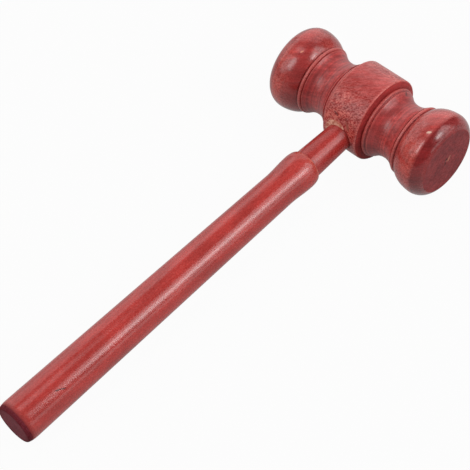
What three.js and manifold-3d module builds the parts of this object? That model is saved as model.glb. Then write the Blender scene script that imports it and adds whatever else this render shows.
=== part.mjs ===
// A judge's gavel at rest on a table: a turned wooden head and a turned wooden handle, joined by a
// round tenon that is glued into a blind hole in the head.
// Millimetres, +Z up. The head's axis runs along X and the handle points towards -Y. The gavel lies on
// its head and on the lower edge of its butt. The origin is on the table, under the middle of the
// gavel's box.

import * as THREE from 'three';
import { mergeVertices } from 'three/addons/utils/BufferGeometryUtils.js';
import Module from 'manifold-3d';

// Head. Widths run along its axis, out from the barrel in the middle. Depths and heights are radial.
// It is turned from a round blank, so the barrel and the two large beads share the blank's radius.
const BLANK_RADIUS = 20;
const BARREL_WIDTH = 19.8;
const BARREL_EDGE_ROUND = 0.5;
const STEP_DEPTH = 3.5;
const STEP_SLOPE_WIDTH = 0.9;
const THIN_BEAD_WIDTH = 1.1;
const THIN_BEAD_HEIGHT = 0.5;
const QUIRK_WIDTH = 0.45;
const QUIRK_DEPTH = 0.35;
const COVE_WIDTH = 13.8;
const COVE_DEPTH = 2.9;
const RIDGE_WIDTH = 0.9;
const RIDGE_HEIGHT = 0.35;
const RIDGE_FOOT_DEPTH = 3.95;
const GROOVE_WIDTH = 0.4;
const GROOVE_DEPTH = 5.4;
const LARGE_BEAD_INNER_WIDTH = 10.4;
const LARGE_BEAD_OUTER_WIDTH = 6.5;
const LARGE_BEAD_OUTER_FALL = 4.5;
const CENTRE_MARK_RADIUS = 0.9;
const CENTRE_MARK_DEPTH = 0.7;

// Handle. Lengths run along its axis, from the barrel's surface to the butt.
const NECK_LENGTH = 21.1;
const NECK_RADIUS = 6.35;
const NECK_FLARE = 0.65;
const SHOULDER_STEP = 0.3;
const SHOULDER_HEIGHT = 1.7;
const SHOULDER_ROUND_LENGTH = 4.7;
const WAIST_FALL = 0.7;
const WAIST_LENGTH = 13;
const GRIP_LENGTH = 172.2;
const BUTT_RADIUS = 9.6;
const BUTT_EDGE_LENGTH = 4.9;
const BUTT_EDGE_FALL = 1.1;

// Joint. The hole is drilled past the head's axis, and the tenon stops a little short of its bottom.
const HOLE_DEPTH = 29;
const HOLE_END_ROOM = 1.5;
const TENON_CHAMFER = 0.8;
const JOINT_CLEARANCE = 0.3;

// Glue. What was squeezed out has dried as a crescent on the barrel, on the upper side of the neck.
const GLUE_THICKNESS = 0.4;
const GLUE_CRESCENT_WIDTH = 1.9;
const GLUE_CRESCENT_SHIFT = 2.2;
const GLUE_LEAN = THREE.MathUtils.degToRad(38);

// How finely the round shapes are divided, and how far an arc turns away from its crest
const HEAD_SEGMENTS = 40;
const HANDLE_SEGMENTS = 32;
const QUARTER_TURN = Math.PI / 2;
const COVE_SWEEP = THREE.MathUtils.degToRad(44);
const FACE_SWEEP = THREE.MathUtils.degToRad(70);

const wasm = await Module();
wasm.setup();

/** A point of a turned outline: its distance from the axis and its station along the axis. */
function at(radius, station) {
  return new THREE.Vector2(radius, station);
}

/**
 * Points of an elliptical arc that starts level at a crest or floor and turns through a sweep. It ends
 * a given length along the axis (negative is backwards) and a given rise away from where it starts.
 */
function arcFrom(start, rise, length, sweep, steps) {
  return Array.from({ length: steps + 1 }, (_, step) => {
    const angle = (sweep * step) / steps;
    return at(
      start.x + (rise * (1 - Math.cos(angle))) / (1 - Math.cos(sweep)),
      start.y + (length * Math.sin(angle)) / Math.sin(sweep),
    );
  });
}

/** Points of a small bead whose two feet are level, standing up by its height. */
function smallBead(footRadius, start, width, height) {
  const crest = at(footRadius + height, start + width / 2);
  const steps = 2;
  return [
    ...arcFrom(crest, -height, -width / 2, QUARTER_TURN, steps).reverse(),
    ...arcFrom(crest, -height, width / 2, QUARTER_TURN, steps).slice(1),
  ];
}

/** A closed solid of revolution about the Y axis, from an outline that starts and ends on it. */
function turned(outline, segments) {
  return new THREE.LatheGeometry(outline, segments);
}

/** A plain round bar about the Y axis between two stations. */
function bar(radius, start, end, segments) {
  return turned([at(0, start), at(radius, start), at(radius, end), at(0, end)], segments);
}

/** A geometry with its shared corners merged, as a solid that can be cut and joined. */
function solidFrom(geometry) {
  const bare = geometry.clone();
  bare.deleteAttribute('normal');
  bare.deleteAttribute('uv');
  const merged = mergeVertices(bare);
  return new wasm.Manifold(new wasm.Mesh({
    numProp: 3,
    vertProperties: new Float32Array(merged.attributes.position.array),
    triVerts: new Uint32Array(merged.index.array),
  }));
}

/** The geometry of a cut or joined solid. */
function geometryFrom(solid) {
  const mesh = solid.getMesh();
  const geometry = new THREE.BufferGeometry();
  geometry.setAttribute('position', new THREE.BufferAttribute(mesh.vertProperties, 3));
  geometry.setIndex(new THREE.BufferAttribute(mesh.triVerts, 1));
  geometry.computeVertexNormals();
  return geometry;
}

/** Half of the head's outline, from the barrel's edge out to the axis at the end face. */
function headHalfOutline() {
  const barrelEnd = BARREL_WIDTH / 2;
  const beadStart = barrelEnd + STEP_SLOPE_WIDTH;
  const coveStart = beadStart + THIN_BEAD_WIDTH + QUIRK_WIDTH;
  const ridgeStart = coveStart + COVE_WIDTH + QUIRK_WIDTH;
  const grooveStation = ridgeStart + RIDGE_WIDTH + GROOVE_WIDTH;
  const crestStation = grooveStation + LARGE_BEAD_INNER_WIDTH;
  const faceStation = crestStation + LARGE_BEAD_OUTER_WIDTH;

  const stepFoot = BLANK_RADIUS - STEP_DEPTH;
  const ridgeFoot = BLANK_RADIUS - RIDGE_FOOT_DEPTH;
  const coveFloor = at(stepFoot - COVE_DEPTH, coveStart + COVE_WIDTH / 2);
  const crest = at(BLANK_RADIUS, crestStation);
  const edgeStart = at(BLANK_RADIUS, barrelEnd - BARREL_EDGE_ROUND);

  return [
    ...arcFrom(edgeStart, -BARREL_EDGE_ROUND, BARREL_EDGE_ROUND, QUARTER_TURN, 2),
    ...smallBead(stepFoot, beadStart, THIN_BEAD_WIDTH, THIN_BEAD_HEIGHT),
    at(stepFoot - QUIRK_DEPTH, coveStart - QUIRK_WIDTH / 2),
    ...arcFrom(coveFloor, COVE_DEPTH, -COVE_WIDTH / 2, COVE_SWEEP, 4).reverse(),
    ...arcFrom(coveFloor, ridgeFoot - coveFloor.x, COVE_WIDTH / 2, COVE_SWEEP, 4).slice(1),
    at(ridgeFoot - QUIRK_DEPTH, ridgeStart - QUIRK_WIDTH / 2),
    ...smallBead(ridgeFoot, ridgeStart, RIDGE_WIDTH, RIDGE_HEIGHT),
    ...arcFrom(crest, -GROOVE_DEPTH, -LARGE_BEAD_INNER_WIDTH, QUARTER_TURN, 7).reverse(),
    ...arcFrom(crest, -LARGE_BEAD_OUTER_FALL, LARGE_BEAD_OUTER_WIDTH, FACE_SWEEP, 6).slice(1),
    at(CENTRE_MARK_RADIUS, faceStation),
    at(0, faceStation - CENTRE_MARK_DEPTH),
  ];
}

/** The whole head before drilling, about the X axis: the half outline and its mirror image. */
function headBlank() {
  const right = headHalfOutline();
  const left = right.map((point) => at(point.x, -point.y)).reverse();
  return turned([...left, ...right], HEAD_SEGMENTS).rotateZ(-QUARTER_TURN);
}

/** The handle's outline, from the end of its tenon to the butt, both on the axis. */
function handleOutline() {
  const tenonEnd = BLANK_RADIUS - HOLE_DEPTH + HOLE_END_ROOM;
  const shoulderStart = BLANK_RADIUS + NECK_LENGTH;
  const buttStation = shoulderStart + GRIP_LENGTH;
  const neckEndRadius = NECK_RADIUS + NECK_FLARE;
  const crest = at(neckEndRadius + SHOULDER_HEIGHT, shoulderStart + SHOULDER_ROUND_LENGTH);
  const edgeStart = at(BUTT_RADIUS, buttStation - BUTT_EDGE_LENGTH);

  const shoulderFall = SHOULDER_STEP - SHOULDER_HEIGHT;
  const waistSteps = 6;
  const easeToWaist = Array.from({ length: waistSteps }, (_, step) => {
    const lengthShare = (step + 1) / waistSteps;
    const fallShare = (1 - Math.cos(Math.PI * lengthShare)) / 2;
    return at(crest.x - WAIST_FALL * fallShare, crest.y + WAIST_LENGTH * lengthShare);
  });
  return [
    at(0, tenonEnd),
    at(NECK_RADIUS - TENON_CHAMFER, tenonEnd),
    at(NECK_RADIUS, tenonEnd + TENON_CHAMFER),
    at(NECK_RADIUS, BLANK_RADIUS),
    at(neckEndRadius, shoulderStart),
    ...arcFrom(crest, shoulderFall, -SHOULDER_ROUND_LENGTH, QUARTER_TURN, 6).reverse(),
    ...easeToWaist,
    ...arcFrom(edgeStart, -BUTT_EDGE_FALL, BUTT_EDGE_LENGTH, QUARTER_TURN, 6),
    at(0, buttStation),
  ];
}

/** How far the handle dips below level when the head and the butt's edge both touch the table. */
function restingTilt(outline) {
  const outsideHead = outline.filter((point) => point.y > BLANK_RADIUS);
  const touchingTilts = outsideHead.map((point) => {
    const reach = Math.hypot(point.x, point.y);
    return Math.asin(BLANK_RADIUS / reach) - Math.atan2(point.x, point.y);
  });
  return Math.min(...touchingTilts);
}

const handlePoints = handleOutline();
const holeRadius = NECK_RADIUS + JOINT_CLEARANCE;

/** Turns a geometry about the Y axis to lie along the resting handle, from the head to the butt. */
const handleTurn = Math.PI + restingTilt(handlePoints);

/** The head with the blind hole for the tenon drilled into it. */
function makeHead() {
  const holeBottom = BLANK_RADIUS - HOLE_DEPTH;
  const hole = bar(holeRadius, holeBottom, 2 * BLANK_RADIUS, HANDLE_SEGMENTS).rotateX(handleTurn);
  const drilled = solidFrom(headBlank()).subtract(solidFrom(hole));
  const material = new THREE.MeshStandardMaterial({ color: 0xa83c38, roughness: 0.38, metalness: 0 });
  const head = new THREE.Mesh(geometryFrom(drilled), material);
  head.name = 'gavel_head';
  return head;
}

/** The handle with its tenon, neck, shoulder, grip and butt. */
function makeHandle() {
  const material = new THREE.MeshStandardMaterial({ color: 0xac3230, roughness: 0.3, metalness: 0 });
  const handle = new THREE.Mesh(turned(handlePoints, HANDLE_SEGMENTS), material);
  handle.name = 'handle';
  handle.rotation.x = handleTurn;
  return handle;
}

/** The crescent of dried glue: a thin skin that follows the barrel, between two off-centre rounds. */
function makeGlue() {
  const crescentRadius = holeRadius + GLUE_CRESCENT_WIDTH - GLUE_CRESCENT_SHIFT;
  const skinInside = BLANK_RADIUS + JOINT_CLEARANCE;
  const skinOutside = skinInside + GLUE_THICKNESS;
  const skinReach = holeRadius + GLUE_CRESCENT_WIDTH;
  const toolReach = 2 * skinOutside;
  const shiftSideways = -GLUE_CRESCENT_SHIFT * Math.sin(GLUE_LEAN);
  const shiftUp = -GLUE_CRESCENT_SHIFT * Math.cos(GLUE_LEAN);

  const outerRound = bar(crescentRadius, 0, toolReach, HANDLE_SEGMENTS)
    .translate(shiftSideways, 0, shiftUp)
    .rotateX(handleTurn);
  const innerRound = bar(holeRadius, 0, toolReach, HANDLE_SEGMENTS).rotateX(handleTurn);
  const skinBar = bar(skinOutside, -skinReach, skinReach, HEAD_SEGMENTS).rotateZ(QUARTER_TURN);
  const barrelBar = bar(skinInside, -toolReach, toolReach, HEAD_SEGMENTS).rotateZ(QUARTER_TURN);
  const skin = solidFrom(skinBar).subtract(solidFrom(barrelBar));
  const crescent = solidFrom(outerRound).subtract(solidFrom(innerRound)).intersect(skin);

  const material = new THREE.MeshStandardMaterial({ color: 0xb98a68, roughness: 0.55, metalness: 0 });
  const glue = new THREE.Mesh(geometryFrom(crescent), material);
  glue.name = 'glue_bead';
  return glue;
}

const gavel = new THREE.Group();
gavel.add(makeHead(), makeHandle(), makeGlue());

// The gavel is set down on the table, centred over the origin.
gavel.updateMatrixWorld(true);
const box = new THREE.Box3().setFromObject(gavel, true);
const middle = box.getCenter(new THREE.Vector3());
gavel.position.set(-middle.x, -middle.y, -box.min.z);

export default gavel;
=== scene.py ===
import math

import bpy
import numpy as np
from mathutils import Matrix, Vector


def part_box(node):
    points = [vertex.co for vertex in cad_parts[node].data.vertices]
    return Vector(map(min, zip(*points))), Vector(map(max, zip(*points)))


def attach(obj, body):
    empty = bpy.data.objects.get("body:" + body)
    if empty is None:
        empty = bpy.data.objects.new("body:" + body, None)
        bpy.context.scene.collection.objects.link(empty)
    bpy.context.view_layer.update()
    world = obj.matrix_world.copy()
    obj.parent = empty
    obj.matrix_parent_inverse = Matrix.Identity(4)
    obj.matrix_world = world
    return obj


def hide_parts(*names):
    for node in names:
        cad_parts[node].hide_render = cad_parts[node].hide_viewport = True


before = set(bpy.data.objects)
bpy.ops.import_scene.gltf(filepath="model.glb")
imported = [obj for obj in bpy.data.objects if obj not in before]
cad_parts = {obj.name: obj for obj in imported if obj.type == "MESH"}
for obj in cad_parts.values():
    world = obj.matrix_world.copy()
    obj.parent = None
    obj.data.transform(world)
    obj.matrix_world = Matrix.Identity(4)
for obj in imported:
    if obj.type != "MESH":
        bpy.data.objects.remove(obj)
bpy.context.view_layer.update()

# Gavel head
# The head is one block of hardwood, turned between centres with a barrel, two coves and two large beads.
# It was stained red, lacquered and rubbed. The handle's tenon is glued into a blind hole in the barrel.

head_low, head_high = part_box("gavel_head")
head_centre = np.array((head_low + head_high) / 2)
blank_radius = (head_high.z - head_low.z) / 2
face_station = (head_high.x - head_low.x) / 2

# Widths run along the head's axis, out from the middle. Depths and heights are radial.
# A quirk is the narrow line that the turner cuts beside a bead or a ridge.
barrel_width = 0.0186
barrel_edge_round = 0.0005
step_depth = 0.0035
step_slope_width = 0.0010
thin_bead_width = 0.0015
thin_bead_height = 0.0005
quirk_width = 0.0009
quirk_depth = 0.0006
cove_width = 0.0133
cove_edge_fall = 0.00015
cove_depth = 0.0029
ridge_quirk_width = 0.0004
ridge_width = 0.0016
ridge_height = 0.0006
ridge_foot_depth = 0.00395
groove_width = 0.0002
groove_depth = 0.0041
large_bead_inner_width = 0.0101
large_bead_outer_fall = 0.0045
centre_mark_radius = 0.0009
centre_mark_depth = 0.0007
quarter_turn = math.pi / 2
cove_sweep = math.radians(44)
bead_sweep = math.radians(70)
face_sweep = math.radians(70)
arc_points = 40
head_segments = 144

barrel_end = barrel_width / 2
bead_start = barrel_end + step_slope_width
cove_start = bead_start + thin_bead_width + quirk_width
ridge_start = cove_start + cove_width + ridge_quirk_width
groove_station = ridge_start + ridge_width + groove_width
crest_station = groove_station + large_bead_inner_width

# The lacquer rounds every turned edge by about this much.
lacquer_round = 0.00012


def arc_from(start, rise, length, sweep):
    """Rows of (radius, station) on an elliptical arc that starts level at a crest or floor.
    radius = start + rise (1 - cos a) / (1 - cos sweep), station = start + length sin a / sin sweep."""
    angle = np.linspace(0, sweep, arc_points)
    radius = start[0] + rise * (1 - np.cos(angle)) / (1 - math.cos(sweep))
    station = start[1] + length * np.sin(angle) / math.sin(sweep)
    return np.column_stack([radius, station])


def small_bead(foot_radius, start, width, height):
    """Rows of (radius, station) on a half ellipse that stands on two level feet."""
    crest = (foot_radius + height, start + width / 2)
    back = arc_from(crest, -height, -width / 2, quarter_turn)[::-1]
    ahead = arc_from(crest, -height, width / 2, quarter_turn)
    return np.vstack([back, ahead[1:]])


def distance_along(line):
    """How far along a line each of its points is, in metres."""
    return np.concatenate([[0], np.cumsum(np.hypot(*np.diff(line, axis=0).T))])


def heading_along(line):
    """Which way a line runs at each of its points, as (radius, station) steps of length 1."""
    heading = np.gradient(line, axis=0)
    return heading / np.linalg.norm(heading, axis=1, keepdims=True)


def evenly(line, step):
    """Points at equal steps along a line, and how far along it each of them is."""
    reach = distance_along(line)
    samples = np.linspace(0, reach[-1], int(reach[-1] / step))
    return np.column_stack([np.interp(samples, reach, column) for column in line.T]), samples


def averaged(line, width, step):
    """An evenly spaced line averaged along its length with a bell curve, cut off at 3 of its widths."""
    half = int(3 * width / step)
    bell = np.exp(-0.5 * (np.arange(-half, half + 1) * step / width) ** 2)
    padded = np.pad(line, ((half, half), (0, 0)), mode="edge")
    return np.column_stack([np.convolve(column, bell / bell.sum(), mode="valid") for column in padded.T])


def softened(outline, edge_round, flat_step, bend_step):
    """The outline with its corners rounded and its points set closer where it bends.
    It is sampled finely, averaged over edge_round, and sampled again at equal steps of
    length / flat_step + angle turned / bend_step."""
    fine_step = edge_round / 4
    fine, _ = evenly(outline, fine_step)
    smooth = averaged(fine, edge_round, fine_step)
    smooth[0], smooth[-1] = outline[0], outline[-1]
    steps = np.diff(smooth, axis=0)
    heading = np.unwrap(np.arctan2(steps[:, 0], steps[:, 1]))
    turned_by = np.concatenate([[0], np.abs(np.diff(heading))])
    cost = np.concatenate([[0], np.cumsum(np.hypot(*steps.T) / flat_step + turned_by / bend_step)])
    picks = np.linspace(0, cost[-1], int(cost[-1]) + 1)
    return np.column_stack([np.interp(picks, cost, column) for column in smooth.T])


def rise_over(line, width):
    """How far each point of an outline stands out from the outline averaged over a width, in metres.
    It is above 0 on beads and edges, and below 0 in grooves."""
    fine_step = width / 8
    fine, samples = evenly(line, fine_step)
    shift = fine - averaged(fine, width, fine_step)
    heading = heading_along(fine)
    rise = shift[:, 0] * heading[:, 1] - shift[:, 1] * heading[:, 0]
    return np.interp(distance_along(line), samples, rise)


def half_head_outline():
    """Half of the head's outline, from the middle of the barrel out to the axis at the end face."""
    step_foot = blank_radius - step_depth
    ridge_foot = blank_radius - ridge_foot_depth
    cove_floor = (step_foot - cove_depth, cove_start + cove_width / 2)
    crest = (blank_radius, crest_station)
    edge_start = (blank_radius, barrel_end - barrel_edge_round)
    return np.vstack([
        (blank_radius, 0),
        arc_from(edge_start, -barrel_edge_round, barrel_edge_round, quarter_turn),
        small_bead(step_foot, bead_start, thin_bead_width, thin_bead_height),
        (step_foot - quirk_depth, cove_start - quirk_width / 2),
        arc_from(cove_floor, cove_depth - cove_edge_fall, -cove_width / 2, cove_sweep)[::-1],
        arc_from(cove_floor, ridge_foot - cove_floor[0], cove_width / 2, cove_sweep)[1:],
        (ridge_foot - quirk_depth, ridge_start - ridge_quirk_width / 2),
        small_bead(ridge_foot, ridge_start, ridge_width, ridge_height),
        arc_from(crest, -groove_depth, -large_bead_inner_width, bead_sweep)[::-1],
        arc_from(crest, -large_bead_outer_fall, face_station - crest_station, face_sweep)[1:],
        (centre_mark_radius, face_station),
        (0, face_station - centre_mark_depth),
    ])


def turned_surface(outline, segments):
    """A surface of revolution about +X: x = station, y = radius sin a, z = radius cos a.
    The outline starts and ends on the axis, and each of its ends becomes one shared point, put last."""
    angle = np.arange(segments) * 2 * math.pi / segments
    radius, station = outline[1:-1].T
    grid = np.stack([
        np.repeat(station[:, None], segments, axis=1),
        np.outer(radius, np.sin(angle)),
        np.outer(radius, np.cos(angle)),
    ], axis=-1)
    return np.vstack([grid.reshape(-1, 3), (outline[0, 1], 0, 0), (outline[-1, 1], 0, 0)])


def per_point(values, segments):
    """One value for each point of a turned surface, from one for each row of its outline, or from a table
    with a row for each of them and a column for each point round it."""
    table = np.broadcast_to(values.reshape(len(values), -1), (len(values), segments))
    return np.concatenate([table[1:-1].ravel(), table[[0, -1], 0]])


def ring_faces(rows, segments):
    """Quads between neighbouring rings of points and fans to the two end points that follow them."""
    row, column = np.meshgrid(np.arange(rows - 1), np.arange(segments), indexing="ij")
    ahead = (column + 1) % segments
    quads = np.stack([
        row * segments + column,
        (row + 1) * segments + column,
        (row + 1) * segments + ahead,
        row * segments + ahead,
    ], axis=-1).reshape(-1, 4)
    around = np.arange(segments)
    beyond = (around + 1) % segments
    first, last = rows * segments, rows * segments + 1
    tail = (rows - 1) * segments
    start_fan = np.column_stack([np.full(segments, first), around, beyond])
    end_fan = np.column_stack([tail + beyond, tail + around, np.full(segments, last)])
    return quads.tolist() + start_fan.tolist() + end_fan.tolist()


def new_piece(name, points, faces):
    """A mesh object at the origin from points in the gavel's own frame, shaded smooth."""
    mesh = bpy.data.meshes.new(name)
    mesh.from_pydata(points.tolist(), [], faces)
    mesh.validate()
    mesh.update()
    mesh.shade_smooth()
    piece = bpy.data.objects.new(name, mesh)
    bpy.context.scene.collection.objects.link(piece)
    return piece


def set_shares(piece, name, values):
    """Store one number for each point of a piece, for its material to read by name."""
    shares = piece.data.attributes.new(name, "FLOAT", "POINT")
    shares.data.foreach_set("value", values.astype(np.float32))


# Edges that stand this far out of the turned outline are paler, partly from wear and partly as a painted
# highlight, and grooves as deep are darkened by painted shade.
rise_width = 0.0005
full_rise = 0.00012

# The gouge left ridges of these widths. They are deepest in the coves, which are hard to sand.
mark_widths = np.array([0.0013, 0.0017, 0.0022, 0.0029, 0.0041])
cove_mark_depth = 0.000045
sanded_mark_depth = 0.000008


def in_cove(station):
    """True on the part of the head between the barrel and a large bead."""
    return (np.abs(station) > barrel_end) & (np.abs(station) < groove_station)


def with_gouge_marks(line, depths, seed):
    """The outline cut inwards by shallow waves along its length, of the gouge's widths and given depths."""
    phases = np.random.default_rng(seed).uniform(0, 2 * math.pi, len(mark_widths))
    waves = np.sin(2 * math.pi * distance_along(line)[:, None] / mark_widths + phases).mean(axis=1)
    heading = heading_along(line)
    inwards = np.column_stack([-heading[:, 1], heading[:, 0]])
    cut = line + inwards * (depths * (1 + waves))[:, None]
    cut[0], cut[-1] = line[0], line[-1]
    return cut


head_flat_step = 0.00036
head_bend_step = math.radians(12)
right_half = softened(half_head_outline(), lacquer_round, head_flat_step, head_bend_step)
left_half = right_half[::-1] * (1, -1)
smooth_outline = np.vstack([left_half, right_half[1:]])
mark_depths = np.where(in_cove(smooth_outline[:, 1]), cove_mark_depth, sanded_mark_depth)
head_outline = with_gouge_marks(smooth_outline, mark_depths, seed=4)
head_points = turned_surface(head_outline, head_segments) + head_centre
head = new_piece("turned_head", head_points, ring_faces(len(head_outline) - 2, head_segments))
head_rise = rise_over(smooth_outline, rise_width) / full_rise
set_shares(head, "wear and highlight", per_point(np.clip(head_rise, 0, 1), head_segments))
set_shares(head, "groove shade", per_point(np.clip(-head_rise, 0, 1), head_segments))

# The lacquer lies thick on the beads, thinner on the barrel and in the coves, and it sank into the end
# grain of the faces and of the barrel's steps. The lathe's rings show most in the coves and on the steps.
# Each list is for the faces, the beads, the steps and the coves, in that order, and the barrel is apart.
# The steps start a little below the barrel's own surface.
step_top_fall = 0.0004
lacquer_shares = [0.1, 1.0, 0.1, 0.50]
barrel_lacquer_share = 0.65
ring_shares = [0.5, 0.35, 1.0, 1.0]
barrel_ring_share = 0.0
row_radius, row_station = smooth_outline.T
below_barrel = (np.abs(row_station) < bead_start) & (row_radius < blank_radius - step_top_fall)
on_face_rows = np.abs(row_station) > face_station - lacquer_round
on_bead_rows = np.abs(row_station) > groove_station
on_step_rows = in_cove(row_station) & below_barrel
head_parts = [on_face_rows, on_bead_rows, on_step_rows, in_cove(row_station)]
head_lacquer = np.select(head_parts, lacquer_shares, default=barrel_lacquer_share)
head_rings = np.select(head_parts, ring_shares, default=barrel_ring_share)
set_shares(head, "lacquer", per_point(head_lacquer, head_segments))
set_shares(head, "rings", per_point(head_rings, head_segments))

# The end grain of the faces drank most of the stain, and so did the barrel's steps, which are also darkened
# by painted shade. A bead's outer side, which starts a little way past its crest, drank more stain too.
# Painted shade darkens each bead as it turns away from its crest, and each bead and cove on the side that
# faces right, more so towards the back. The surface faces right by as much as the outline's radius falls
# along it.
past_crest_width = 0.002
back_lean_share = 0.25
least_lean = 0.10
lean_range = 0.14
faces_right = -heading_along(smooth_outline)[:, :1]
faces_back = np.sin(np.arange(head_segments) * 2 * math.pi / head_segments).clip(0)
facing_right_share = np.clip((faces_right + back_lean_share * faces_back - least_lean) / lean_range, 0, 1)

# Each part's rows, the share that it drank all over, and the painted shade added as it turns away from
# the crest and where it faces right. The first part that a row lies in counts.
soak_and_shade_parts = [
    (on_step_rows, 0.65, 0.0, 0.0),
    (on_face_rows, 0.85, 0.0, 0.0),
    (np.abs(row_station) > crest_station + past_crest_width, 0.50, 0.0, 0.50),
    (on_bead_rows, 0.0, 0.22, 0.45),
    (in_cove(row_station), 0.0, 0.0, 0.30),
]
soak_and_shade_rows = [rows[:, None] for rows, *_ in soak_and_shade_parts]
soak_and_shade_shares = [
    everywhere + turned_away * np.abs(faces_right) + against * facing_right_share
    for _, everywhere, turned_away, against in soak_and_shade_parts
]
head_soak_and_shade = np.select(soak_and_shade_rows, soak_and_shade_shares, default=0.0)
set_shares(head, "soak and shade", per_point(head_soak_and_shade, head_segments))


def feed(tree, socket, source):
    """Link a socket to an input, or set the input to a plain value."""
    if isinstance(source, bpy.types.NodeSocket):
        tree.links.new(source, socket)
    else:
        socket.default_value = source


def worked(tree, operation, first, second=0.0):
    """The number that a Math node works out from two numbers."""
    node = tree.nodes.new("ShaderNodeMath")
    node.operation = operation
    feed(tree, node.inputs[0], first)
    feed(tree, node.inputs[1], second)
    return node.outputs["Value"]


def worked_vector(tree, operation, first, second=(0, 0, 0), output="Vector"):
    """The vector, or with output "Value" the number, that a Vector Math node works out."""
    node = tree.nodes.new("ShaderNodeVectorMath")
    node.operation = operation
    feed(tree, node.inputs[0], first)
    feed(tree, node.inputs[1], second)
    return node.outputs[output]


def lumps(tree, place, size, detail=1.0):
    """Soft noise round 0.5 whose lumps have a size in metres, as (along, across, across) the grain."""
    node = tree.nodes.new("ShaderNodeTexNoise")
    node.inputs["Scale"].default_value = 1.0
    node.inputs["Detail"].default_value = detail
    feed(tree, node.inputs["Vector"], worked_vector(tree, "DIVIDE", place, size))
    return node.outputs["Fac"]


def share_between(tree, value, low, high):
    """A smooth share that is 0 where the value is at low and 1 where it is at high."""
    node = tree.nodes.new("ShaderNodeMapRange")
    node.interpolation_type = "SMOOTHSTEP"
    feed(tree, node.inputs["Value"], value)
    node.inputs["From Min"].default_value = low
    node.inputs["From Max"].default_value = high
    return node.outputs["Result"]


def scaled_to(tree, share, low, high):
    """A number that goes straight from low to high as the share goes from 0 to 1."""
    node = tree.nodes.new("ShaderNodeMapRange")
    node.clamp = False
    feed(tree, node.inputs["Value"], share)
    node.inputs["To Min"].default_value = low
    node.inputs["To Max"].default_value = high
    return node.outputs["Result"]


def blended(tree, share, first, second, way="MIX"):
    """The first colour where the share is 0, and where it is 1 the second one, mixed in one of the ways."""
    node = tree.nodes.new("ShaderNodeMix")
    node.data_type = "RGBA"
    node.blend_type = way
    sockets = {socket.identifier: socket for socket in node.inputs}
    feed(tree, sockets["Factor_Float"], share)
    feed(tree, sockets["A_Color"], first)
    feed(tree, sockets["B_Color"], second)
    return {socket.identifier: socket for socket in node.outputs}["Result_Color"]


def times(tree, colour, light):
    """A colour made lighter or darker by a number, or by another colour."""
    return blended(tree, 1.0, colour, light, "MULTIPLY")


def new_group(name, inputs, outputs):
    """An empty node group with its input and output nodes. Sockets are given as name: kind."""
    group = bpy.data.node_groups.new(name, "ShaderNodeTree")
    for label, kind in inputs.items():
        group.interface.new_socket(label, in_out="INPUT", socket_type="NodeSocket" + kind)
    for label, kind in outputs.items():
        group.interface.new_socket(label, in_out="OUTPUT", socket_type="NodeSocket" + kind)
    return group, group.nodes.new("NodeGroupInput").outputs, group.nodes.new("NodeGroupOutput").inputs


# The wood's pattern. Each size is in metres, one along the grain and two across it, but the lathe's rings
# vary only along its axis. The fibres and the pores between them sway by up to sway_reach.
blotch_size = (0.014, 0.007, 0.007)
streak_size = (0.020, 0.0014, 0.0014)
ring_size = (0.0011, 1, 1)
sway_size = (0.004, 0.0025, 0.0025)
sway_reach = 0.0015
fibre_size = (0.0026, 0.00060, 0.00050)
fibre_height = 0.000025
speck_size = (0.0006, 0.0006, 0.0006)
speck_height = 0.00003

# Noise runs from nothing to its full share between these of its values.
soft_noise_range = (0.34, 0.66)
fibre_noise_range = (0.38, 0.58)

# The stain's colour is multiplied by these, which go from a pattern's dark places to its light ones.
blotch_lights = (0.88, 1.10)
ring_lights = (0.78, 1.22)
fibre_tints = ((0.66, 0.24, 0.26, 1), (1.10, 2.0, 2.25, 1))
speck_tints = ((0.70, 0.46, 0.46, 1), (1.30, 1.56, 1.56, 1))
untinted = (1, 1, 1, 1)
ringed_tint = (0.94, 1.0, 1.08, 1)
# The groove tint is painted shade, and the soaked tint darkens stained end grain and painted shade alike.
groove_shade_tint = (0.78, 0.62, 0.62, 1)
soak_and_shade_tint = (0.48, 0.22, 0.26, 1)

# What is left of one effect where another is strongest: of the pores and the orange under lathe rings, of
# the orange in dark blotches, and of the lacquer and the pale edges, wear and painted highlight, in open
# pores.
pores_under_rings_share = 0.25
orange_under_rings_share = 0.2
least_orange_share = 0.35
lacquer_in_pores_share = 0.3
pale_edges_in_pores_share = 0.5

# The bare wood's roughness goes between these with its specks, and open pores, rings and soaked wood
# without lacquer each add to it.
speck_roughness = (0.14, 0.28)
pore_roughness = 0.08
ring_roughness = 0.10
soaked_roughness = 0.45


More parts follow.
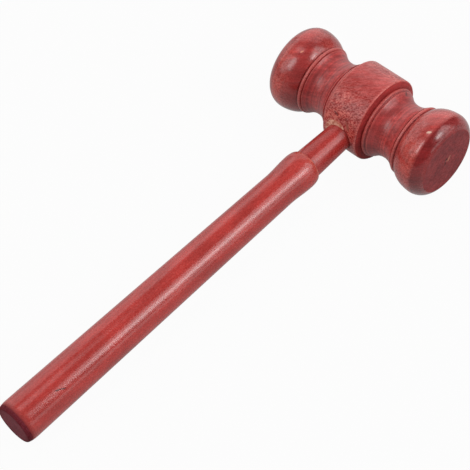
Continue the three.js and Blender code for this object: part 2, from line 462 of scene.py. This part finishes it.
def stained_wood_group():
    """The look of stained and handled hardwood, for the head and the handle.
    Place runs along the grain in x, Station along the lathe's axis. The colour is deep where the surface
    follows the grain and more orange where it cuts across, and that orange is a painted sheen of the fibres.
    It is streaked and pored along the grain, banded by the turning partly as painted shading of the gouge
    marks, darkened by painted shade in grooves, dark on soaked ends and where shade is painted, and paler
    on edges, partly from wear and partly as a painted highlight. Height is in metres."""
    tree, given, made = new_group(
        "stained_wood",
        {
            "Place": "Vector", "Station": "Float", "Stain": "Color", "Cut Stain And Sheen": "Color",
            "Wear And Highlight Stain": "Color", "Cut Across": "Float", "Wear And Highlight": "Float", "Groove Shade": "Float",
            "Soak And Shade": "Float", "Rings": "Float", "Pores": "Float", "Streaks": "Float", "Lacquer": "Float",
        },
        {"Color": "Color", "Roughness": "Float", "Height": "Float", "Coat": "Float"},
    )
    place, ringed = given["Place"], given["Rings"]
    pores_left = scaled_to(tree, ringed, 1.0, pores_under_rings_share)
    open_grain = worked(tree, "MULTIPLY", given["Pores"], pores_left)
    blotches = share_between(tree, lumps(tree, place, blotch_size, detail=2.0), *soft_noise_range)
    # The orange where the surface cuts across the grain is a painted sheen, for light caught by the fibres
    # under the lacquer.
    orange = worked(tree, "MULTIPLY", scaled_to(tree, blotches, least_orange_share, 1.0), given["Cut Across"])
    orange = worked(tree, "MULTIPLY", orange, scaled_to(tree, ringed, 1.0, orange_under_rings_share))
    colour = blended(tree, orange, given["Stain"], given["Cut Stain And Sheen"])
    colour = blended(tree, ringed, colour, ringed_tint, "MULTIPLY")
    colour = times(tree, colour, scaled_to(tree, blotches, *blotch_lights))

    # Streaks lighten and darken the colour by up to half of their share.
    streaks = worked(tree, "SUBTRACT", lumps(tree, place, streak_size, detail=2.0), 0.5)
    colour = times(tree, colour, scaled_to(tree, worked(tree, "MULTIPLY", streaks, given["Streaks"]), 1, 2))

    # The lathe's rings band the colour, partly as painted shading of the gouge marks.
    ring_place = worked_vector(tree, "MULTIPLY", given["Station"], (1, 0, 0))
    rings = share_between(tree, lumps(tree, ring_place, ring_size, detail=2.0), *soft_noise_range)
    colour = blended(tree, ringed, colour, scaled_to(tree, rings, *ring_lights), "MULTIPLY")

    sway = worked(tree, "MULTIPLY", lumps(tree, place, sway_size), sway_reach)
    swayed = worked_vector(tree, "ADD", place, sway)
    fibres = share_between(tree, lumps(tree, swayed, fibre_size), *fibre_noise_range)
    colour = times(tree, colour, blended(tree, open_grain, untinted, blended(tree, fibres, *fibre_tints)))

    specks = lumps(tree, place, speck_size)
    colour = times(tree, colour, blended(tree, specks, *speck_tints))

    # Edges are paler, partly from wear and partly as a painted highlight.
    pale_edges = worked(tree, "MULTIPLY", given["Wear And Highlight"], scaled_to(tree, fibres, pale_edges_in_pores_share, 1.0))
    colour = blended(tree, pale_edges, colour, given["Wear And Highlight Stain"])
    # Grooves are darkened by painted shade.
    colour = blended(tree, given["Groove Shade"], colour, groove_shade_tint, "MULTIPLY")
    # Soaked wood is darker, partly from its stain and partly from painted shade.
    colour = times(tree, colour, blended(tree, given["Soak And Shade"], untinted, soak_and_shade_tint))
    feed(tree, made["Color"], colour)

    sunken = worked(tree, "MULTIPLY", open_grain, worked(tree, "SUBTRACT", 1.0, fibres))
    coat = worked(tree, "MULTIPLY", given["Lacquer"], scaled_to(tree, sunken, 1, lacquer_in_pores_share))
    feed(tree, made["Coat"], coat)

    dull = worked(tree, "MULTIPLY", given["Soak And Shade"], worked(tree, "SUBTRACT", 1.0, given["Lacquer"]))
    roughness = scaled_to(tree, specks, *speck_roughness)
    for share, added in ((open_grain, pore_roughness), (ringed, ring_roughness), (dull, soaked_roughness)):
        roughness = worked(tree, "ADD", roughness, worked(tree, "MULTIPLY", share, added))
    feed(tree, made["Roughness"], roughness)

    height = worked(tree, "MULTIPLY", worked(tree, "MULTIPLY", fibres, open_grain), fibre_height)
    height = worked(tree, "ADD", height, worked(tree, "MULTIPLY", specks, speck_height))
    feed(tree, made["Height"], height)
    return tree


def turned_to(tree, axes, centre):
    """Object coordinates measured from a centre along three axes, given as the rows of a turn."""
    node = tree.nodes.new("ShaderNodeMapping")
    node.vector_type = "TEXTURE"
    node.inputs["Location"].default_value = centre
    node.inputs["Rotation"].default_value = Matrix(axes.tolist()).transposed().to_euler()
    tree.links.new(tree.nodes.new("ShaderNodeTexCoord").outputs["Object"], node.inputs["Vector"])
    return node.outputs["Vector"]


# The cosines between the surface's normal and the grain at which it follows the fibres and cuts across.
followed_cosine = 0.05
cut_cosine = 0.55


def cut_across_share(tree, grain_direction):
    """How much the surface cuts across the grain: 0 where it follows the fibres, 1 where they end in it."""
    normal = tree.nodes.new("ShaderNodeNewGeometry").outputs["Normal"]
    facing = worked_vector(tree, "DOT_PRODUCT", normal, grain_direction, "Value")
    return share_between(tree, worked(tree, "ABSOLUTE", facing), followed_cosine, cut_cosine)


def stored_share(tree, name):
    """The number that a piece stores for each of its points under a name."""
    node = tree.nodes.new("ShaderNodeAttribute")
    node.attribute_name = name
    return node.outputs["Fac"]


# A dent ends between these distances from its middle, counted in half its length and half its width, with
# noise round 0.5 added.
dent_outside = 1.65
dent_inside = 1.25


def dent_share(tree, start, end, half_width):
    """1 on a small ragged dent between two points and 0 outside it."""
    middle, run = (start + end) / 2, Vector(end - start)
    half_length = run.length / 2 + half_width
    place = turned_to(tree, np.array(run.to_track_quat("X", "Z").to_matrix().transposed()), middle)
    ragged = lumps(tree, place, (half_width, half_width, half_width), detail=2.0)
    near = worked_vector(tree, "DIVIDE", place, (half_length, half_width, half_width))
    away = worked(tree, "ADD", worked_vector(tree, "LENGTH", near, output="Value"), ragged)
    return share_between(tree, away, dent_outside, dent_inside)


stained_wood = stained_wood_group()


def wood_material(name, grain_axes, lathe_axes, stains, pores, streaks, dents=(), gloss=0.20, blur=0.16):
    """Stained, lacquered wood with its grain and its lathe marks along given axes from the head's centre.
    Pores gives how open they are where the surface follows the grain and where it cuts across.
    Each dent has two ends, half a width, a colour and a depth in metres. Gloss is the wood's specular
    level, and blur is the roughness of the lacquer over it."""
    material = bpy.data.materials.new(name)
    material.use_nodes = True
    tree = material.node_tree
    surface = tree.nodes["Principled BSDF"]
    look = tree.nodes.new("ShaderNodeGroup")
    look.node_tree = stained_wood
    feed(tree, look.inputs["Place"], turned_to(tree, grain_axes, head_centre))
    lathe_place = tree.nodes.new("ShaderNodeSeparateXYZ")
    feed(tree, lathe_place.inputs["Vector"], turned_to(tree, lathe_axes, head_centre))
    feed(tree, look.inputs["Station"], lathe_place.outputs["X"])
    for label, colour in stains.items():
        look.inputs[label].default_value = (*colour, 1)
    cut_across = cut_across_share(tree, tuple(grain_axes[0]))
    feed(tree, look.inputs["Cut Across"], cut_across)
    feed(tree, look.inputs["Pores"], scaled_to(tree, cut_across, *pores))
    for label in ("Wear And Highlight", "Groove Shade", "Soak And Shade", "Rings", "Lacquer"):
        feed(tree, look.inputs[label], stored_share(tree, label.lower()))
    look.inputs["Streaks"].default_value = streaks
    colour, height = look.outputs["Color"], look.outputs["Height"]
    for start, end, half_width, dent_colour, depth in dents:
        share = dent_share(tree, start, end, half_width)
        colour = blended(tree, share, colour, (*dent_colour, 1))
        height = worked(tree, "SUBTRACT", height, worked(tree, "MULTIPLY", share, depth))
    bump = tree.nodes.new("ShaderNodeBump")
    bump.inputs["Distance"].default_value = 1.0
    feed(tree, bump.inputs["Height"], height)
    feed(tree, surface.inputs["Base Color"], colour)
    feed(tree, surface.inputs["Roughness"], look.outputs["Roughness"])
    feed(tree, surface.inputs["Coat Weight"], look.outputs["Coat"])
    feed(tree, surface.inputs["Normal"], bump.outputs["Normal"])
    surface.inputs["Specular IOR Level"].default_value = gloss
    surface.inputs["Coat Roughness"].default_value = blur
    return material


def round_head(station, radius, angle):
    """A point at a station and a radius, at an angle in degrees from the head's top towards its front."""
    turn = math.radians(angle)
    return head_centre + (station, -radius * math.sin(turn), radius * math.cos(turn))


def on_head(station, angle):
    """A point on the head's turned surface, at a station and an angle in degrees from the top."""
    return round_head(station, np.interp(station, smooth_outline[:, 1], smooth_outline[:, 0]), angle)


def on_face(radius, angle):
    """A point on the head's right end face, at a radius and an angle in degrees from the top."""
    return round_head(face_station, radius, angle)


# The blank was cut with its grain askew, so the pores cross the head at an angle to its axis.
grain_across, grain_along = 0.65, 0.76
grain_angle = math.atan2(grain_across, grain_along)
head_grain_axes = np.array([
    (math.cos(grain_angle), math.sin(grain_angle), 0),
    (-math.sin(grain_angle), math.cos(grain_angle), 0),
    (0, 0, 1),
])
head_lathe_axes = np.eye(3)
# The colour where the surface cuts across the grain has the fibres' sheen painted into it, and the colour of
# the edges is partly wear and partly painted highlight.
head_stains = {
    "Stain": (0.54, 0.058, 0.050),
    "Cut Stain And Sheen": (0.67, 0.084, 0.058),
    "Wear And Highlight Stain": (0.70, 0.14, 0.12),
}
end_stains = {
    "Stain": (0.50, 0.100, 0.092),
    "Cut Stain And Sheen": (0.53, 0.110, 0.092),
    "Wear And Highlight Stain": (0.55, 0.125, 0.115),
}

# Single marks: a pale chip on each large bead, a nick beside the barrel, a faint spot and a smear of glue
# on it, and round the lathe's centre mark a worn edge and some dirt.
bare_wood = (0.80, 0.46, 0.35)
torn_wood = (0.78, 0.24, 0.15)
chipped_stain = (0.46, 0.15, 0.10)
old_dirt = (0.11, 0.014, 0.012)
faint_dirt = (0.24, 0.040, 0.034)
old_glue = (0.42, 0.092, 0.062)
bead_dents = [
    (on_head(0.0382, 18.5), on_head(0.0391, 16), 0.00055, bare_wood, 0.00010),
    (on_head(-0.0343, 19.5), on_head(-0.0339, 17), 0.0004, torn_wood, 0.00005),
]
barrel_dents = [
    (on_head(0.0129, -38), on_head(0.0141, -36), 0.0005, old_dirt, 0.00015),
    (on_head(-0.0044, 60), on_head(-0.0024, 62), 0.0004, faint_dirt, 0.0),
    (on_head(0.0030, 65), on_head(0.0052, 73), 0.0006, old_glue, 0.0),
]
face_dents = [
    (on_face(0.0010, -119), on_face(0.0024, -57), 0.0007, chipped_stain, 0.00003),
    (on_face(0.0017, 5), on_face(0.0015, 135), 0.0007, old_dirt, 0.00015),
]

# The beads were polished. The barrel and the coves are only satin, and the end grain of the faces and of
# the barrel's steps is duller still.
bead_finish, barrel_finish, step_finish, face_finish = range(4)
head.data.materials.append(wood_material(
    "bead_red_stain", head_grain_axes, head_lathe_axes, head_stains,
    pores=(0.15, 0.60), streaks=0.8, dents=bead_dents, gloss=0.18, blur=0.18))
head.data.materials.append(wood_material(
    "barrel_red_stain", head_grain_axes, head_lathe_axes, head_stains,
    pores=(0.30, 1.0), streaks=0.9, dents=barrel_dents, gloss=0.35, blur=0.30))
head.data.materials.append(wood_material(
    "step_end_grain", head_grain_axes, head_lathe_axes, head_stains,
    pores=(0.30, 0.5), streaks=0.5, gloss=0.14, blur=0.30))
head.data.materials.append(wood_material(
    "head_end_grain", head_grain_axes, head_lathe_axes, end_stains,
    pores=(0.5, 0.5), streaks=1.0, dents=face_dents))


def face_middles(piece):
    """The middle of each face of a piece."""
    middles = np.empty((len(piece.data.polygons), 3), np.float32)
    piece.data.polygons.foreach_get("center", middles.ravel())
    return middles


def set_finishes(piece, numbers):
    """Give each face of a piece the material in one of its slots."""
    piece.data.polygons.foreach_set("material_index", numbers.astype(np.int32))


from_middle = np.abs(face_middles(head)[:, 0])
from_axis = np.hypot(*(face_middles(head) - head_centre)[:, 1:].T)
on_face_side = (from_middle > face_station - lacquer_round) | (from_axis < centre_mark_radius)
on_step_side = (from_middle > barrel_end) & (from_middle < bead_start)
set_finishes(head, np.select(
    [on_face_side, on_step_side, from_middle < groove_station],
    [face_finish, step_finish, barrel_finish],
    default=bead_finish))
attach(head, "root")
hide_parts("gavel_head")

# Handle
# The handle is turned from the same hardwood with the same finish, and it is glued into the head.
# A thin neck swells to a rounded shoulder, and the long grip widens towards the butt.

handle_low, handle_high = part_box("handle")
neck_length = 0.0211
neck_radius = 0.00635
neck_flare = 0.00065
shoulder_step = 0.0003
shoulder_height = 0.0017
shoulder_round_length = 0.0047
waist_fall = 0.0007
waist_length = 0.013
grip_length = 0.1722
butt_radius = (handle_high.x - handle_low.x) / 2
butt_edge_length = 0.0049
butt_edge_fall = 0.0011
hole_depth = 0.029
hole_end_room = 0.0015
tenon_chamfer = 0.0008
joint_clearance = 0.0003
handle_segments = 160
handle_flat_step = 0.0008
handle_bend_step = math.radians(5)


def handle_outline():
    """The handle's outline, from the end of its tenon to the butt, both on the axis.
    At a share s along the waist its radius = crest - fall (1 - cos pi s) / 2."""
    tenon_end = blank_radius - hole_depth + hole_end_room
    shoulder_start = blank_radius + neck_length
    butt_station = shoulder_start + grip_length
    neck_end_radius = neck_radius + neck_flare
    crest = (neck_end_radius + shoulder_height, shoulder_start + shoulder_round_length)
    edge_start = (butt_radius, butt_station - butt_edge_length)
    share = np.linspace(0, 1, arc_points)[1:]
    waist_radius = crest[0] - waist_fall * (1 - np.cos(math.pi * share)) / 2
    waist_station = crest[1] + waist_length * share
    shoulder = arc_from(crest, shoulder_step - shoulder_height, -shoulder_round_length, quarter_turn)[::-1]
    return np.vstack([
        (0, tenon_end),
        (neck_radius - tenon_chamfer, tenon_end),
        (neck_radius, tenon_end + tenon_chamfer),
        (neck_radius, blank_radius),
        (neck_end_radius, shoulder_start),
        shoulder,
        np.column_stack([waist_radius, waist_station]),
        arc_from(edge_start, -butt_edge_fall, butt_edge_length, quarter_turn),
        (0, butt_station),
    ])


def resting_dip(outline, held_radius):
    """How far the handle dips, in radians, when the head lies on the table and the handle hangs from it.
    A point at (radius, station) is held_radius below the head's axis at a dip of
    asin(held_radius / reach) - atan(radius / station). The first point to touch decides."""
    radius, station = outline[outline[:, 1] > held_radius].T
    return (np.arcsin(held_radius / np.hypot(radius, station)) - np.arctan2(radius, station)).min()


handle_line = softened(handle_outline(), lacquer_round, handle_flat_step, handle_bend_step)
dip = resting_dip(handle_line, blank_radius)

# Rows: where the handle's own length, width and height point in the gavel's frame.
handle_axes = np.array([
    (0, -math.cos(dip), -math.sin(dip)),
    (1, 0, 0),
    (0, -math.sin(dip), math.cos(dip)),
])
handle_points = turned_surface(handle_line, handle_segments) @ handle_axes + head_centre
handle = new_piece("turned_handle", handle_points, ring_faces(len(handle_line) - 2, handle_segments))
handle_rise = rise_over(handle_line, rise_width) / full_rise

# The butt's end grain soaked up stain as far as the middle of its rounded edge, and the lacquer sank in.
# The stain thins out further along the edge, and on the flat end face inside a narrow dark rim.
end_grain_width = 0.0017
soaked_width = 0.0038
dark_rim_width = 0.0020
dark_rim_fade = 0.0006
# The neck is darkened by painted shade, for the head's shadow on it.
neck_shade_share = 0.18
face_paler_share = 0.3
handle_lacquer_share = 0.32
butt_ring_share = 0.6
to_butt = handle_line[-1, 1] - handle_line[:, 1]
butt_share = np.clip((soaked_width - to_butt) / (soaked_width - end_grain_width), 0, 1)
inside_rim = (butt_radius - handle_line[:, 0] - dark_rim_width) / dark_rim_fade + 1
in_butt_face = np.clip(inside_rim, 0, 1) * (to_butt < lacquer_round)
on_neck = handle_line[:, 1] < blank_radius + neck_length
handle_shares = {
    "wear and highlight": np.clip(handle_rise, 0, 1) * (1 - butt_share),
    "groove shade": np.clip(-handle_rise, 0, 1),
    "soak and shade": butt_share - face_paler_share * in_butt_face + neck_shade_share * on_neck,
    "lacquer": handle_lacquer_share * (1 - butt_share),
    "rings": butt_ring_share * butt_share,
}
for share_name, row_shares in handle_shares.items():
    set_shares(handle, share_name, per_point(row_shares, handle_segments))


def on_handle(station, angle):
    """A point on the handle, at a distance from the head's axis and an angle in degrees from its top."""
    radius = np.interp(station, handle_line[:, 1], handle_line[:, 0])
    turn = math.radians(angle)
    return head_centre + np.array((station, radius * math.sin(turn), radius * math.cos(turn))) @ handle_axes


handle_stains = {
    "Stain": (0.51, 0.042, 0.034),
    "Cut Stain And Sheen": (0.57, 0.060, 0.038),
    "Wear And Highlight Stain": (0.74, 0.22, 0.17),
}
butt_stains = {
    "Stain": (0.36, 0.085, 0.095),
    "Cut Stain And Sheen": (0.40, 0.090, 0.105),
    "Wear And Highlight Stain": (0.40, 0.090, 0.105),
}

# A thin bent scratch on the grip, near the butt.
grip_scratch = [
    (on_handle(0.1938, 34), on_handle(0.1918, 39), 0.00025, old_dirt, 0.00010),
    (on_handle(0.1918, 39), on_handle(0.1897, 46), 0.00025, old_dirt, 0.00010),
]
handle.data.materials.append(wood_material(
    "handle_red_stain", handle_axes, handle_axes, handle_stains,
    pores=(0.15, 0.5), streaks=0.25, dents=grip_scratch, gloss=0.46))
handle.data.materials.append(wood_material(
    "butt_end_grain", handle_axes, handle_axes, butt_stains,
    pores=(0.4, 0.4), streaks=0.5, gloss=0.10))
along_handle = (face_middles(handle) - head_centre) @ handle_axes[0]
set_finishes(handle, along_handle > handle_line[-1, 1] - end_grain_width)
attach(handle, "root")
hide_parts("handle")

# The head's blind hole follows the handle's line. It is bored with room for the glue round the tenon.
bore_segments = 96
bore_overrun = 0.002
sharp_angle = math.radians(50)


def bore(piece, radius, start, end):
    """Cut a round hole into a piece along the handle's line, between two distances from the head's axis."""
    outline = np.array([(0, start), (radius, start), (radius, end), (0, end)])
    points = turned_surface(outline, bore_segments) @ handle_axes + head_centre
    borer = new_piece("borer", points, ring_faces(len(outline) - 2, bore_segments))
    cut = piece.modifiers.new("bore", "BOOLEAN")
    cut.object = borer
    cut.operation = "DIFFERENCE"
    cut.solver = "EXACT"
    whole = piece.data
    piece.data = bpy.data.meshes.new_from_object(piece.evaluated_get(bpy.context.evaluated_depsgraph_get()))
    piece.modifiers.clear()
    bpy.data.meshes.remove(whole)
    bpy.data.objects.remove(borer)
    piece.data.name = piece.name
    piece.data.set_sharp_from_angle(angle=sharp_angle)


hole_radius = neck_radius + joint_clearance
bore(head, hole_radius, blank_radius - hole_depth, blank_radius + bore_overrun)

# Glue
# A little of the glue was squeezed out where the neck enters the head.
# It dried as a pale crescent round the upper left of the neck, and red stain dirtied it.

glue_lean = math.radians(-38)
glue_width = 0.0018
glue_shift = 0.0026
glue_height = 0.00060
glue_foot = 0.0001
glue_rows = 90
glue_columns = 12

# The glue's ragged edge, as waves of a share of its width, each with its turns per radian and its phase.
edge_wave_shares = ((0.10, 9, 1), (0.07, 17, 2), (0.05, 31, 0))


def glue_crescent():
    """Rings of points round the crescent's cross-section, from tip to tip, and its two tips.
    At an angle a from the lean the crescent reaches from the neck to a shifted round:
    outer = shift cos a + sqrt(round^2 - (shift sin a)^2). The section is a quarter ellipse on the neck.
    A point at a distance d from the handle's line, turned by b from its top, lies on a cylinder of
    radius r round the head's axis where its distance along the handle is sqrt(r^2 - (d cos b)^2)."""
    round_radius = hole_radius + glue_width - glue_shift
    half_sweep = math.acos(
        (hole_radius ** 2 + glue_shift ** 2 - round_radius ** 2) / (2 * hole_radius * glue_shift))
    angle = half_sweep * np.linspace(-1, 1, glue_rows + 2)
    ragged = 1 + sum(share * np.sin(turns * angle + phase) for share, turns, phase in edge_wave_shares)
    outer = glue_shift * np.cos(angle) + np.sqrt(round_radius ** 2 - (glue_shift * np.sin(angle)) ** 2)
    width = (outer - hole_radius).clip(0) * ragged + joint_clearance
    share = np.linspace(0, 1, glue_columns)
    across = np.concatenate([share, share[::-1]])
    lift = np.concatenate([glue_height * np.sqrt(1 - share ** 2), np.full(glue_columns, -glue_foot)])
    tip_share = np.sqrt((width / width.max()).clip(0, 1))
    away = neck_radius + np.outer(width, across)
    shell = blank_radius + np.outer(tip_share, lift)
    turn = (glue_lean + angle)[:, None]
    along = np.sqrt(shell ** 2 - (away * np.cos(turn)) ** 2)
    rings = np.stack([along, away * np.sin(turn), away * np.cos(turn)], axis=-1)
    tips = rings[[0, -1]].mean(axis=1)
    return np.vstack([rings[1:-1].reshape(-1, 3), tips]) @ handle_axes + head_centre


glue = new_piece("dried_glue", glue_crescent(), ring_faces(glue_rows, 2 * glue_columns))

# The glue is mottled from tan to stained. Its fine grain changes its brightness, roughness and height.
tan_glue = (0.92, 0.44, 0.32, 1)
stained_glue = (0.60, 0.17, 0.11, 1)
glue_mottle_size = (0.0022, 0.0018, 0.0018)
glue_mottle_range = (0.44, 0.58)
glue_grain_size = (0.0004, 0.0004, 0.0004)
glue_grain_height = 0.00006
glue_grain_lights = (0.80, 1.20)
glue_roughness = (0.30, 0.55)
glue_gloss = 0.30


def glue_material():
    """Dried glue: a dull tan skin, mottled where the red stain ran into it."""
    material = bpy.data.materials.new("dried_tan_glue")
    material.use_nodes = True
    tree = material.node_tree
    surface = tree.nodes["Principled BSDF"]
    place = turned_to(tree, handle_axes, head_centre)
    stained = share_between(tree, lumps(tree, place, glue_mottle_size, detail=3.0), *glue_mottle_range)
    fine = lumps(tree, place, glue_grain_size, detail=2.0)
    colour = blended(tree, stained, tan_glue, stained_glue)
    feed(tree, surface.inputs["Base Color"], times(tree, colour, scaled_to(tree, fine, *glue_grain_lights)))
    feed(tree, surface.inputs["Roughness"], scaled_to(tree, fine, *glue_roughness))
    bump = tree.nodes.new("ShaderNodeBump")
    bump.inputs["Distance"].default_value = 1.0
    feed(tree, bump.inputs["Height"], worked(tree, "MULTIPLY", fine, glue_grain_height))
    feed(tree, surface.inputs["Normal"], bump.outputs["Normal"])
    surface.inputs["Specular IOR Level"].default_value = glue_gloss
    return material


glue.data.materials.append(glue_material())
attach(glue, "root")
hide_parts("glue_bead")

# Table
# The gavel lies on a plain white table top, which shows only a faint soft shadow.
# It looks white to the eye, is dimmer in the lacquer, and lights the wood as a plain grey top does.

table_half = 3.0
table_grey = (0.45, 0.45, 0.45, 1)
seen_glow_share = 0.96
mirrored_glow_share = 0.25
table_mesh = bpy.data.meshes.new("table_top")
corner_signs = np.array([(-1, -1, 0), (1, -1, 0), (1, 1, 0), (-1, 1, 0)])
table_mesh.from_pydata((corner_signs * table_half).tolist(), [], [(0, 1, 2, 3)])
table_top = bpy.data.objects.new("table_top", table_mesh)
bpy.context.scene.collection.objects.link(table_top)


def table_material():
    """A grey top that seems to glow white, by one share where it is seen and by another where mirrored."""
    material = bpy.data.materials.new("white_table_top")
    material.use_nodes = True
    tree = material.node_tree
    tree.nodes.clear()
    lit = tree.nodes.new("ShaderNodeBsdfDiffuse")
    lit.inputs["Color"].default_value = table_grey
    glowing = tree.nodes.new("ShaderNodeEmission")
    glowing.inputs["Strength"].default_value = 1.0
    ray = tree.nodes.new("ShaderNodeLightPath").outputs
    mirrored = worked(tree, "ADD", ray["Is Glossy Ray"], ray["Is Transmission Ray"])
    mirrored_glow = worked(tree, "MULTIPLY", mirrored, mirrored_glow_share)
    seen_glow = worked(tree, "MULTIPLY", ray["Is Camera Ray"], seen_glow_share)
    mixed = tree.nodes.new("ShaderNodeMixShader")
    output = tree.nodes.new("ShaderNodeOutputMaterial")
    feed(tree, mixed.inputs["Fac"], worked(tree, "ADD", seen_glow, mirrored_glow))
    feed(tree, mixed.inputs[1], lit.outputs["BSDF"])
    feed(tree, mixed.inputs[2], glowing.outputs["Emission"])
    feed(tree, output.inputs["Surface"], mixed.outputs["Shader"])
    return material


table_mesh.materials.append(table_material())

# Lamps
# A wide soft box with a bright core stands behind the gavel on the right, over a low panel. Two boxes
# stand in front of it, a small one hangs overhead, and two wide panels fill in from the left and behind.


def soft_box(name, towards, distance, width, height, radiance):
    """A rectangular lamp that faces the gavel's head from a direction. Its power is radiance x pi x area."""
    lamp_data = bpy.data.lights.new(name, "AREA")
    lamp_data.shape = "RECTANGLE"
    lamp_data.size = width
    lamp_data.size_y = height
    lamp_data.energy = radiance * math.pi * width * height
    lamp = bpy.data.objects.new(name, lamp_data)
    direction = Vector(towards).normalized()
    place = Vector(head_centre) + distance * direction
    lamp.matrix_world = Matrix.Translation(place) @ direction.to_track_quat("Z", "Y").to_matrix().to_4x4()
    bpy.context.scene.collection.objects.link(lamp)


# Each lamp's direction from the head, then its distance, width, height and radiance.
soft_box("back_right_box", (0.63, 0.42, 0.65), 1.0, 0.72, 0.74, 2.35)
soft_box("back_right_core", (0.71, 0.22, 0.60), 0.97, 0.30, 0.26, 5.10)
soft_box("back_right_panel", (0.90, 0.40, 0.16), 1.2, 1.4, 0.30, 1.45)
soft_box("front_left_box", (-0.38, -0.72, 0.60), 1.0, 0.45, 0.80, 1.15)
soft_box("front_box", (-0.10, -0.66, 0.74), 1.0, 0.24, 0.60, 3.90)
soft_box("overhead_box", (-0.19, -0.03, 1.0), 1.0, 0.24, 0.42, 1.60)
soft_box("back_left_panel", (-0.50, 0.68, 0.46), 1.1, 1.2, 1.2, 0.75)
soft_box("left_panel", (-0.90, -0.05, 0.44), 1.1, 1.0, 1.0, 0.88)

# The backdrop gives a little light from all round, and it looks as white as the table top.
backdrop_light = 0.16
studio = bpy.data.worlds.new("studio")
bpy.context.scene.world = studio
studio.use_nodes = True
backdrop = studio.node_tree.nodes["Background"]
backdrop.inputs["Color"].default_value = (1, 1, 1, 1)
backdrop_seen = studio.node_tree.nodes.new("ShaderNodeLightPath").outputs["Is Camera Ray"]
backdrop_glow = scaled_to(studio.node_tree, backdrop_seen, backdrop_light, seen_glow_share)
feed(studio.node_tree, backdrop.inputs["Strength"], backdrop_glow)

# Camera
# The camera looks down on the gavel from its front right, at the photograph's angle.
# It stands well back with a long lens, so the gavel tapers only a little with distance.

camera_aim = Vector((0.00197, 0.00880, 0.015))
camera_azimuth = math.radians(46.748)
camera_elevation = math.radians(51.682)
camera_roll = math.radians(-3.736)
camera_distance = 0.7228
camera_data = bpy.data.cameras.new("camera")
camera_data.lens = 130.55
camera_data.sensor_width = 36
camera = bpy.data.objects.new("camera", camera_data)
bpy.context.scene.collection.objects.link(camera)
camera_turn = (
    Matrix.Rotation(camera_azimuth, 4, "Z")
    @ Matrix.Rotation(quarter_turn - camera_elevation, 4, "X")
    @ Matrix.Rotation(camera_roll, 4, "Z")
)
backwards = camera_turn.to_3x3() @ Vector((0, 0, 1))
camera.matrix_world = Matrix.Translation(camera_aim + camera_distance * backwards) @ camera_turn
bpy.context.scene.camera = camera
bpy.context.scene.view_settings.view_transform = "Standard"
